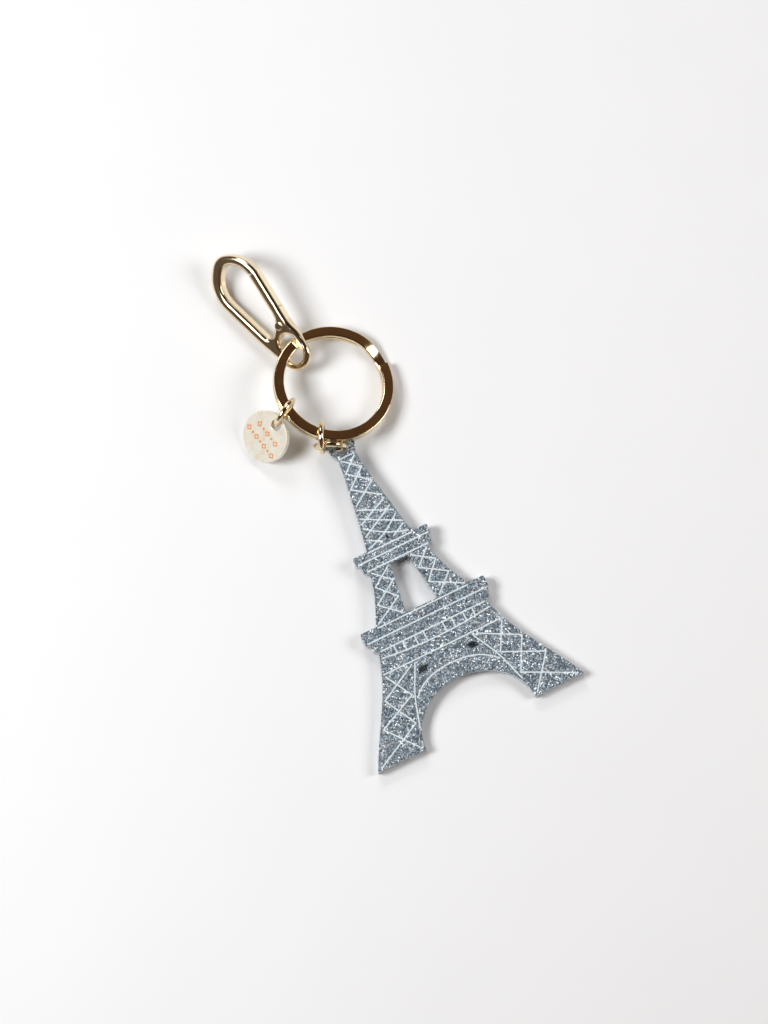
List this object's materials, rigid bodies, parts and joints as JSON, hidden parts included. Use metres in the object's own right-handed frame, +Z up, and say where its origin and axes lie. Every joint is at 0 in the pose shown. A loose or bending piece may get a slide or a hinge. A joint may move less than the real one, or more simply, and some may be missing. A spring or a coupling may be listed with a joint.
{
  "type": "keychain",
  "caption": "Keychain lying flat: snap hook, two-turn flat-wire key ring, round tag on a jump ring, and a lattice-tower charm on a pair of jump rings.",
  "frame": {"origin": "on the table, under the middle of the whole chain as it lies", "axes": "+Y from the charm's base towards the snap hook, +Z up from the table, +X to the charm's right"},
  "size_m": [0.06, 0.142, 0.0131],
  "materials": {
    "hook_metal": "polished pale gold",
    "spring_wire": "bright",
    "ring_metal": "polished pale gold",
    "tag_enamel": "pearly",
    "tag_ink": "satin",
    "glitter_acrylic": "glitter",
    "line_paint": "matte"
  },
  "bodies": {
    "hook": {"snap_hook_body": "hook_metal", "gate_rivet": "hook_metal", "gate_spring": "spring_wire"},
    "gate": {"snap_hook_gate": "hook_metal"},
    "key_ring": {"split_ring": "ring_metal"},
    "tag_ring": {"tag_jump_ring": "ring_metal"},
    "tag": {"tag_disc": "tag_enamel", "tag_print": "tag_ink"},
    "charm_ring_upper": {"charm_jump_ring_upper": "ring_metal"},
    "charm_ring_lower": {"charm_jump_ring_lower": "ring_metal"},
    "charm": {"tower_charm": "glitter_acrylic", "paint_platform_lines": "line_paint", "paint_frieze": "line_paint", "paint_spire_bracing": "line_paint", "paint_spire_lattice": "line_paint", "paint_upper_leg_bracing": "line_paint", "paint_leg_inner_lines": "line_paint", "paint_arch_line": "line_paint", "paint_lower_leg_bracing": "line_paint"}
  },
  "joints": [
    {"name": "gate_hinge", "type": "hinge", "parent": "hook", "child": "gate", "pos_m": [0.00023, 0.04691, 0.00708], "axis": [-0.5982, -0.136, 0.7897], "range_deg": [0, 28], "stiffness_Nm_per_rad": 0.03, "springref_deg": -28.65},
    {"name": "key_ring_through_eye", "type": "hinge", "parent": "hook", "child": "key_ring", "pos_m": [0.0053, 0.02687, 0.00511], "axis": [0.2287, 0.0469, 0.9724], "range_deg": [-20, 80]},
    {"name": "tag_ring_along_key_ring", "type": "hinge", "parent": "key_ring", "child": "tag_ring", "pos_m": [0.0053, 0.02687, 0.00511], "axis": [0.2287, 0.0469, 0.9724], "range_deg": [-22, 14]},
    {"name": "tag_swing", "type": "hinge", "parent": "tag_ring", "child": "tag", "pos_m": [-0.00968, 0.02515, 0.00858], "axis": [0.4774, -0.8778, -0.0384], "range_deg": [-70, 70]},
    {"name": "charm_ring_along_key_ring", "type": "hinge", "parent": "key_ring", "child": "charm_ring_upper", "pos_m": [0.0053, 0.02687, 0.00511], "axis": [0.2287, 0.0469, 0.9724], "range_deg": [-12, 45]},
    {"name": "charm_lift", "type": "hinge", "parent": "charm_ring_upper", "child": "charm_ring_lower", "pos_m": [-0.00388, 0.01488, 0.00744], "axis": [0.903, -0.4249, 0.0628], "range_deg": [-15, 2]},
    {"name": "charm_swing", "type": "hinge", "parent": "charm_ring_lower", "child": "charm", "pos_m": [0, 0.01103, 0.00324], "axis": [0, -0.0224, 0.9997], "range_deg": [-45, 45]}
  ]
}
